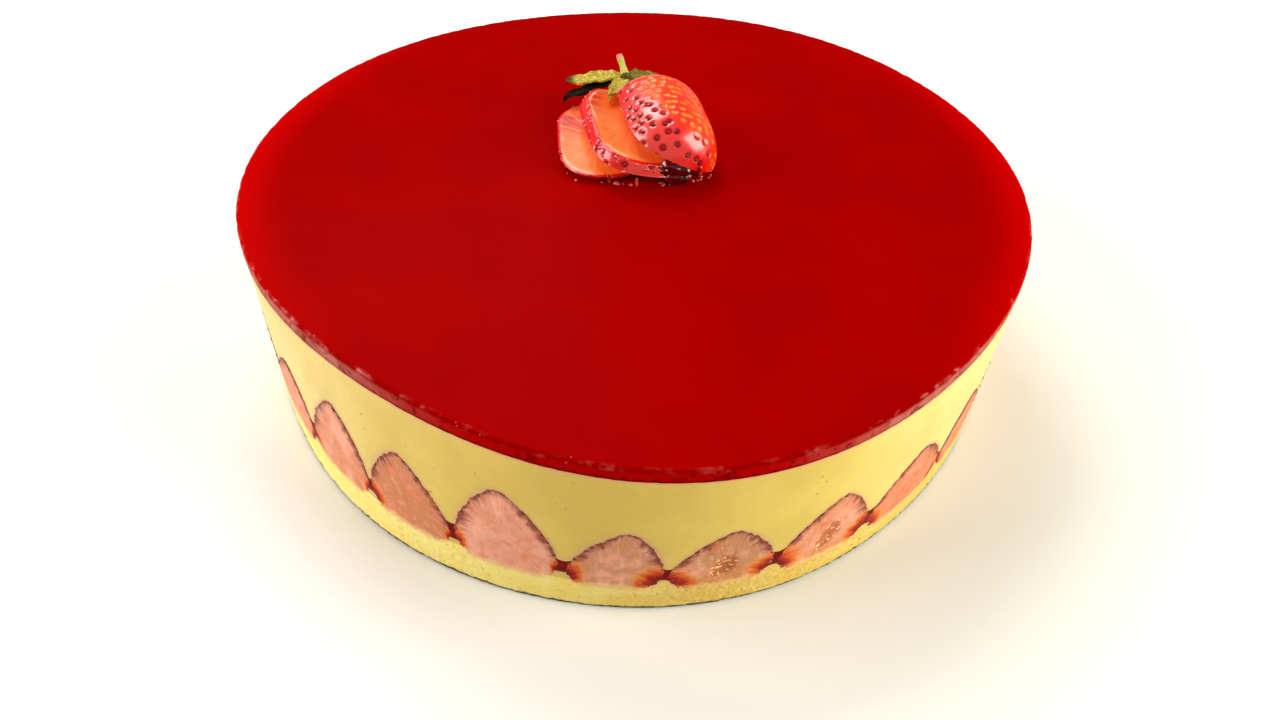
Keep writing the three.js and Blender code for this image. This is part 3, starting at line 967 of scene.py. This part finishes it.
def garnish_slice(low, high, segments, face_rings, skin_rings, seeds_to, dome=False):
    """A slice of the lying berry between two levels, or its cap above the lower one. Its seed pits are
    pressed in from the tip as far as a place along it."""
    rings = 2 * face_rings + skin_rings
    bm = bmesh.new()
    spoke_layer = bm.verts.layers.float_vector.new("spoke")
    mask_layer = bm.verts.layers.float_vector.new("masks")
    bmesh.ops.create_uvsphere(bm, u_segments=segments, v_segments=rings, radius=1)
    levels = {}
    for vert in bm.verts:
        polar = acos(max(-1.0, min(1.0, vert.co.z)))
        ring = round(polar / pi * rings)
        turn = atan2(vert.co.y, vert.co.x) % (2 * pi)
        if dome:
            level = low
            reach = sin(pi / 2 * min(1.0, ring / (face_rings + skin_rings)))
            if ring > face_rings + skin_rings:
                reach = (rings - ring) / face_rings
            on_skin = ring <= face_rings + skin_rings
        else:
            skin_step = min(max(ring - face_rings, 0), skin_rings)
            level = high + (low - high) * skin_step / skin_rings
            reach = min(ring, rings - ring, face_rings) / face_rings
            reach = 1 - (1 - reach) ** 1.3
            on_skin = 0 < skin_step < skin_rings
        key = round(level, 4)
        if key not in levels:
            levels[key] = level_outline(level)
        outline = levels[key]
        centre = outline.mean(axis=0)
        rim = outline[round(turn / (2 * pi) * len(outline)) % len(outline)]
        across, place = centre + (rim - centre) * reach
        height = level
        if dome and on_skin:
            height = max(low, dome_height(across, place))
        point = Vector((across, place, height))
        from_rim = hypot(*(rim - centre)) * (1 - reach)
        if not on_skin and not dome:
            inner = 1 if level > (low + high) / 2 else -1
            point.z -= inner * CUT_ROUNDING * max(0.0, 1 - from_rim / 0.8) ** 2
            groove = max(0.0, 1 - abs(across + 0.5) / GROOVE_HALF_WIDTH)
            groove *= max(0.0, 1 - abs(place) / GROOVE_HALF_LENGTH)
            point.z -= inner * GROOVE_DEPTH * groove
            grain = noise.noise(Vector((9 * cos(turn), 9 * sin(turn), 3 * reach)))
            point.z += inner * FACE_GRAIN * grain
        pit = 0.0
        if on_skin:
            nearest, index, distance = seed_tree.find(point)
            pit = max(0.0, 1 - (distance / PIT_RADIUS) ** 2) if nearest.y < seeds_to else 0.0
            out = Vector((across / GARNISH_HALF_WIDTH**2, 0, point.z / GARNISH_HALF_DEPTH**2))
            if out.length > 0:
                point -= out.normalized() * PIT_DEPTH * pit
        vert.co = point
        vert[spoke_layer] = (cos(turn), sin(turn), reach)
        vert[mask_layer] = (float(on_skin), pit, min(1.0, from_rim / MASK_REACH))
    return facing_out(bm)


flesh = Finish("Garnish strawberry", Roughness=0.34, Specular_IOR_Level=0.3)
flesh.shader.inputs["Coat Roughness"].default_value = 0.2
flesh.shader.inputs["Coat IOR"].default_value = 1.55
spoke = flesh.attribute("spoke", "Vector")
on_skin, pit, from_rim = parts(flesh.attribute("masks", "Vector"))
inside = from_rim * MASK_REACH
spot = flesh.place()
x_mm, y_mm = [side * 1000 for side in parts(spot)[:2]]
fibres = clouds(stretched(spoke, (11, 11, 1.6)), 1.0, detail=3, roughness=0.6)
bands = clouds(stretched(spot, (70, 420, 70)), 1.0, detail=2)
broad = clouds(spot, 110, detail=2)
cloud = clouds(spot, 55, detail=2)
ragged = (broad - 0.5) * 8
to_tip = step(y_mm + ragged, 30, 6)
inner = mix(to_tip, (255, 100, 6), (255, 128, 40))
inner = mix(step(inside, 2.5, 8.0) * to_tip * 0.7, inner, (255, 146, 78))
inner = mix(step(cloud, 0.48, 0.7) * to_tip * 0.4, inner, (255, 172, 120))
inner = mix(step(fibres, 0.5, 0.75) * 0.15, inner, (255, 190, 134))
inner = mix(step(fibres, 0.46, 0.28) * 0.25, inner, (248, 84, 10))
streaked = step(y_mm + ragged, 17, 28) * step(x_mm, -11, -15)
inner = mix(streaked * step(bands, 0.42, 0.56) * 0.85, inner, (206, 26, 6))
bead_line = step(inside, 0.9, 1.3) * step(inside, 2.3, 1.6) * step(broad, 0.45, 0.6)
inner = mix(bead_line * 0.6, inner, (255, 200, 176))
inner = mix(step(inside + (broad - 0.5) * 1.2, 1.3, 0.5), inner, (222, 8, 4))
unripe = step(x_mm * 1.25 + y_mm + ragged, 13, 19) * step(y_mm + ragged, -2, 4)
unripe = unripe * step(x_mm, -5, 1)
# A pale pink patch between the pits on the cap's upper left: a painted highlight of the wet skin.
painted_sheen_patch = step(x_mm * 0.5 + y_mm * 0.3 + ragged, 8, 2) * step(x_mm, -6, -2)
skin = mix(painted_sheen_patch * step(pit, 0.25, 0.05) * 0.4, (236, 10, 8), (240, 108, 98))
unripe_red = mix(step(broad, 0.35, 0.7), (238, 40, 0), (248, 72, 4))
skin = mix(unripe * 0.95, skin, unripe_red)
pit_color = mix(unripe, (146, 0, 8), (252, 110, 34))
skin = mix(step(pit, 0.15, 0.6), skin, pit_color)
flesh.feed("Base Color", mix(on_skin, inner, skin))
matte_side = step(x_mm, -4, -9) * step(y_mm, 1, 8)
flesh.feed("Coat Weight", 0.25 + on_skin * (0.7 - unripe * 0.55 - matte_side * 0.6))
flesh.bump(fibres * (1 - on_skin) + clouds(spot, 500, detail=2) * 0.3, 0.0003, 0.5)

SLICES = (
    # piece, node, levels of its two cuts, how far it is drawn out, where it lies, roll and heading in
    # degrees, and how far up from the tip its seeds show
    ("garnish_left", "garnish_slice_left", (-9.6, -7.2), 1.0, (-12.9, 14.8, RESTING_HEIGHT), 0, 6, 30),
    ("garnish_middle", "garnish_slice_middle", (2.6, 6.8), 1.04, (-2.9, 14.1, 64.4), 12.8, 13, -9),
    ("garnish_dome", "garnish_cap", (2.5, 15), 0.9, (7.9, 12.4, 68.3), 27.9, 13, 30),
)
garnish_seeds = Grains(ball(10, 7))
slice_frames = []
draws = random.Random(3)
wide, long, thick = GARNISH_SEED
for name, node, (low, high), stretch, at, roll, heading, seeds_to in SLICES:
    if name == "garnish_dome":
        bm = garnish_slice(low, high, 256, 12, 84, seeds_to, dome=True)
    else:
        bm = garnish_slice(low, high, 224, 16, 10, seeds_to)
    lying = (
        Matrix.Translation(at)
        @ Matrix.Rotation(radians(heading), 4, "Z")
        @ Matrix.Rotation(radians(roll), 4, "Y")
        @ Matrix.Diagonal((1, stretch, 1, 1))
        @ Matrix.Translation((0, 0, -low))
    )
    slice_frames.append(lying)
    bmesh.ops.transform(bm, matrix=lying, verts=bm.verts)
    shown = in_frame(bm, name, 70)
    flesh.coat(shown)
    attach(shown, "root")
    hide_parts(node)
    for place in seed_places:
        if not low + 0.5 < place.z < high - 0.4 or place.y > seeds_to:
            continue
        out = Vector((place.x / GARNISH_HALF_WIDTH**2, 0, place.z / GARNISH_HALF_DEPTH**2)).normalized()
        frame_turn = out.to_track_quat("Z", "Y").to_matrix().to_4x4()
        size = draws.uniform(0.85, 1.15)
        grain = Matrix.Diagonal((wide * size, long * size, thick, 1))
        garnish_seeds.add(lying @ Matrix.Translation(place - out * 0.4) @ frame_turn @ grain)

seeds = in_frame(garnish_seeds.bm, "garnish_seeds")
achene = Finish("Strawberry seed", Roughness=0.5, Specular_IOR_Level=0.2)
spot = achene.place()
x_mm, y_mm = [side * 1000 for side in parts(spot)[:2]]
husk = clouds(spot, 350, detail=2)
dark = mix(step(husk, 0.35, 0.7), (126, 2, 8), (186, 34, 20))
unripe = step(x_mm * 1.25 + y_mm, 13, 19) * step(y_mm, -2, 4) * step(x_mm, -5, 1)
achene.feed("Base Color", mix(unripe, dark, (255, 144, 64)))
achene.bump(husk, 0.0001, 0.4)
achene.coat(seeds)
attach(seeds, "root")

# Leaves. The berry's own green cap is laid behind the slices: five small pointed leaves and the cut
# stalk on one hub. They are thin and waved, with a raised midrib, and begin to wilt at their edges.
CALYX_AT = Vector((-6.5, 39.9, 71.6))
LEAF_THICKNESS = 0.6
LEAVES = (
    # length, width, droop, ripple, direction, slope, how blunt, how pale and lit
    (20, 7.0, 2, 0.5, 176, -1, 7.0, 1.0),
    (22, 7.0, 2, 0.4, 188, -11, 2.2, 0.0),
    (12, 6.5, 1.5, 0.4, 22, 5, 2.5, 0.4),
    (15, 5.5, 1.2, 0.4, 252, 11, 2.5, 0.75),
    (10, 6.0, 2, 0.3, 80, -30, 2.0, 0.1),
)
STEM_RADIUS = 1.1
STEM_LENGTH = 8.5
STEM_SLOPE = 35
STEM_DIRECTION = 108
HUB_RADIUS = 2


def pointed(direction, slope):
    return (
        Matrix.Translation(CALYX_AT)
        @ Matrix.Rotation(radians(direction), 4, "Z")
        @ Matrix.Rotation(-radians(slope), 4, "Y")
    )


bm = bmesh.new()
vein_layer = bm.verts.layers.float_vector.new("vein")
for length, width, droop, ripple, direction, slope, blunt, pale in LEAVES:
    blade = bmesh.ops.create_grid(bm, x_segments=36, y_segments=14, size=0.5)["verts"]
    for vert in blade:
        along, side = vert.co.x + 0.5, vert.co.y * 2
        half = width * 0.5 * (0.35 + 0.65 * min(1.0, along / 0.35)) * (1 - along**blunt) ** 0.6
        half *= 1 + 0.08 * sin(along * 34 + side)
        rise = 0.6 * abs(side) ** 1.5 * half / 3 - 0.25 * exp(-((side / 0.12) ** 2))
        curl = ripple * sin(2 * pi * along) - droop * along**2
        wave_edge = 0.3 * side**2 * sin(along * 16 + pale * 5)
        vert.co = Vector((length * along, half * side, curl + rise + wave_edge))
        vert[vein_layer] = (along, side, pale)
    bmesh.ops.transform(bm, matrix=pointed(direction, slope), verts=blade)
bmesh.ops.recalc_face_normals(bm, faces=bm.faces)
bmesh.ops.solidify(bm, geom=bm.faces[:], thickness=LEAF_THICKNESS)
blade_count = len(bm.verts)
bmesh.ops.create_cone(
    bm,
    cap_ends=True,
    segments=20,
    radius1=STEM_RADIUS * 1.25,
    radius2=STEM_RADIUS * 0.9,
    depth=STEM_LENGTH,
)
bm.verts.ensure_lookup_table()
stem_edges = {edge for vert in bm.verts[blade_count:] for edge in vert.link_edges}
long_edges = [edge for edge in stem_edges if edge.calc_length() > STEM_LENGTH / 2]
bmesh.ops.subdivide_edges(bm, edges=long_edges, cuts=12)
bm.verts.ensure_lookup_table()
for vert in bm.verts[blade_count:]:
    up = vert.co.z / STEM_LENGTH + 0.5
    vert.co.xy *= 1 + 0.12 * sin(up * 9) + 0.25 * max(0.0, up - 0.85)
    vert.co.x += 0.5 * up**2
    vert[vein_layer] = (up, 0.4, 2.0)
    vert.co = pointed(STEM_DIRECTION, STEM_SLOPE) @ Vector((STEM_LENGTH * up, vert.co.x, vert.co.y))
at = Matrix.Translation(CALYX_AT)
hub = bmesh.ops.create_uvsphere(bm, u_segments=24, v_segments=14, radius=HUB_RADIUS, matrix=at)["verts"]
for vert in hub:
    vert[vein_layer] = (0.1, 0.5, 0.3)
bmesh.ops.recalc_face_normals(bm, faces=bm.faces)
leaves = in_frame(bm, "strawberry_leaves", 60)

leaf = Finish("Strawberry leaf", Roughness=0.6, Specular_IOR_Level=0.12)
along, side, pale = parts(leaf.attribute("vein", "Vector"))
spot = leaf.place()
fuzz = clouds(spot, 1100, detail=3)
patch = clouds(spot, 260, detail=2)
ribs = leaf.node("ShaderNodeMath", {"operation": "SINE"}, {0: along * 60 - side * side * 10})
side_veins = step(ribs, 0.55, 1.0)
midrib = step(side * side, 0.03, 0.0)
# How pale a leaf is, partly its own colour and partly painted light and shade: the shaded leaves are
# painted near black, the lit ones pale.
paleness_and_light = step(pale, 0.1, 0.9)
green = mix(paleness_and_light, (2, 4, 2), (178, 154, 26))
green = mix(step(patch, 0.4, 0.7) * (0.08 + paleness_and_light * 0.45), green, (104, 104, 20))
green = mix((midrib + side_veins * 0.3) * (0.06 + paleness_and_light * 0.42), green, (176, 172, 88))
# Pale speckles of the leaf's hairs: partly their own colour, partly a painted sparkle of light.
green = mix(step(fuzz, 0.5, 0.62) * paleness_and_light * 0.75, green, (228, 206, 116))
dry_tip = step(along, 0.8, 0.97)
green = mix(dry_tip * step(pale, 0.86, 0.96) * 0.85, green, (30, 20, 8))
green = mix(dry_tip * (1 - paleness_and_light) * step(pale, 0.05, 0.15) * 0.7, green, (132, 112, 52))
stalk = mix(step(along, 0.7, 0.95), (190, 194, 98), (232, 140, 118))
leaf.feed("Base Color", mix(step(pale, 1.4, 1.6), green, stalk))
leaf.bump(fuzz * 0.4 + side_veins * 0.5 + patch * 0.4, 0.0003, 0.7)
leaf.coat(leaves)
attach(leaves, "root")
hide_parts("calyx")

# Glaze. Warm glaze is brushed over the garnish and runs down between the middle slice and the cap,
# where it sets in a dark, lumpy pool that fills the angle.
POOL = (
    # middle of each swell of the pool, and its half sizes
    ((9.6, -4.2, 66.2), (3.8, 2.3, 2.4)),
    ((12.8, -4.4, 65.4), (3.0, 2.1, 2.6)),
    ((7.2, -5.4, 65.0), (1.9, 1.5, 1.7)),
    ((11.5, -3.8, 62.2), (4.4, 2.3, 2.4)),
)
POOL_LUMPS = 0.5
LUMP_PITCH = 0.6

grains = Grains(ball(40, 24))
for at, half_sizes in POOL:
    grains.add(Matrix.Translation(at) @ Matrix.Diagonal((*half_sizes, 1)))
for vert in grains.bm.verts:
    at = vert.co * LUMP_PITCH
    push = Vector([noise.noise(at + Vector((apart, 0, 0))) for apart in (0, 31, 67)])
    vert.co += POOL_LUMPS * push
glaze = in_frame(grains.bm, "garnish_glaze")
wet = Finish("Strawberry glaze", Roughness=0.06, Specular_IOR_Level=0.7, Coat_Weight=1.0)
wet.shader.inputs["Coat Roughness"].default_value = 0.05
thick = clouds(wet.place(), 240, detail=2)
wet.feed("Base Color", mix(step(thick, 0.35, 0.7), (44, 0, 4), (128, 2, 6)))
wet.bump(clouds(wet.place(), 520, detail=1), 0.0009, 0.7)
wet.coat(glaze)
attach(glaze, "root")

# Drops. Where the glaze beaded it stands in clear drops: along the wet edges of the two slices, round
# the garnish's foot on the jelly, and in two drips that run down the front.
EDGE_DROPS = (
    # slice, how many, first and last share of the way round it, smallest and largest
    (0, 24, 0.36, 0.92, (0.25, 0.6)),
    (1, 40, 0.40, 0.86, (0.3, 0.75)),
)
FOOT_RUNS = (
    # from, to, number of drops, smallest and largest
    ((-28, 10), (-21, -5), 3, (0.25, 0.5)),
    ((-21, -5), (-10, -3.5), 5, (0.25, 0.65)),
    ((-10, -5), (3, -7), 7, (0.3, 0.75)),
    ((3, -6), (10, -4), 6, (0.3, 0.8)),
    ((14, -3), (22, 0), 6, (0.3, 0.75)),
    ((22, 0), (25, 12), 3, (0.25, 0.5)),
)
FOOT_SCATTER = 0.8
# Middle and half sizes of each drip
DRIPS = (((18.6, -4.9, 65.2), (0.6, 0.5, 2.0)), ((-1.0, -8.3, 62.4), (0.5, 0.45, 1.7)))

grains = Grains(ball(16, 10))
draws = random.Random(19)
for row, count, first, last, (smallest, largest) in EDGE_DROPS:
    low, high = SLICES[row][2]
    for _ in range(count):
        level = high - abs(draws.gauss(0, 0.35)) * (high - low)
        outline = level_outline(max(level, low + 0.3))
        across, place = outline[int(draws.uniform(first, last) * len(outline))]
        size = draws.uniform(smallest, largest)
        at = slice_frames[row] @ Vector((across * 0.99, place * 0.99, level))
        grains.add(Matrix.Translation(at) @ Matrix.Diagonal((size, size, size * 0.8, 1)))
for start, end, count, (smallest, largest) in FOOT_RUNS:
    for _ in range(count):
        at = Vector(start).lerp(Vector(end), draws.random())
        at += Vector((draws.gauss(0, FOOT_SCATTER), draws.gauss(0, FOOT_SCATTER)))
        size = draws.uniform(smallest, largest)
        drop = Matrix.Diagonal((size, size * draws.uniform(0.8, 1.3), size * 0.7, 1))
        grains.add(Matrix.Translation((at.x, at.y, CAKE_HEIGHT)) @ drop)
for at, half_sizes in DRIPS:
    grains.add(Matrix.Translation(at) @ Matrix.Diagonal((*half_sizes, 1)))
drops = in_frame(grains.bm, "glaze_drops")
clear = Finish("Glaze drop", Roughness=0.08, Specular_IOR_Level=0.7, Coat_Weight=1.0)
clear.shader.inputs["Coat Roughness"].default_value = 0.05
tint = clouds(clear.place(), 600, detail=1)
clear.feed("Base Color", mix(step(tint, 0.35, 0.65), (176, 12, 10), (232, 84, 66)))
clear.bump(clouds(clear.place(), 900, detail=1), 0.0003, 0.4)
clear.coat(drops)
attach(drops, "root")

# Floor, light and camera. A plain pale floor under soft light from both sides and above, seen from
# the front and above at the angle of a hand-held camera.
bm = bmesh.new()
bmesh.ops.create_grid(bm, x_segments=1, y_segments=1, size=3)
floor_mesh = bpy.data.meshes.new("floor")
bm.to_mesh(floor_mesh)
bm.free()
floor = bpy.data.objects.new("floor", floor_mesh)
bpy.context.scene.collection.objects.link(floor)
table = Finish("Pale floor", Roughness=0.6, Specular_IOR_Level=0.2)
table.shader.inputs["Base Color"].default_value = shade(240, 239, 236)
table.coat(floor)

world = bpy.data.worlds.new("studio")
world.use_nodes = True
world.node_tree.nodes["Background"].inputs["Color"].default_value = (1.0, 0.97, 0.93, 1)
world.node_tree.nodes["Background"].inputs["Strength"].default_value = 0.2
bpy.context.scene.world = world


def softbox(name, at, aim, size, power, color):
    data = bpy.data.lights.new(name, "AREA")
    data.size = size
    data.energy = power
    data.color = color
    lamp = bpy.data.objects.new(name, data)
    lamp.location = at
    lamp.rotation_euler = (Vector(aim) - Vector(at)).to_track_quat("-Z", "Y").to_euler()
    bpy.context.scene.collection.objects.link(lamp)


softbox("window_right", (0.95, -0.22, 0.45), (0, 0, 0.03), 0.7, 13.0, (0.98, 1.0, 0.88))
softbox("window_left", (-0.93, -0.12, 0.52), (0, 0, 0.03), 0.7, 9.8, (1.0, 0.95, 0.92))
softbox("ceiling", (-0.3, 0.64, 0.9), (0, 0, 0.07), 0.6, 8.5, (1.0, 0.97, 0.96))

CAMERA_AT = Vector((2.47, -268.82, 238.13)) * MM + AXIS
CAMERA_PITCH = radians(44.04)
CAMERA_ROLL = radians(2.52)
forward = Vector((0, cos(CAMERA_PITCH), -sin(CAMERA_PITCH)))
level_up = Vector((0, sin(CAMERA_PITCH), cos(CAMERA_PITCH)))
level_right = Vector((1, 0, 0))
right = cos(CAMERA_ROLL) * level_right + sin(CAMERA_ROLL) * level_up
up = -sin(CAMERA_ROLL) * level_right + cos(CAMERA_ROLL) * level_up
camera_data = bpy.data.cameras.new("camera")
camera_data.lens = 28.125
camera_data.sensor_width = 36
camera = bpy.data.objects.new("camera", camera_data)
camera.matrix_world = Matrix.Translation(CAMERA_AT) @ Matrix((right, up, -forward)).transposed().to_4x4()
bpy.context.scene.collection.objects.link(camera)
bpy.context.scene.camera = camera
bpy.context.scene.view_settings.view_transform = "Standard"
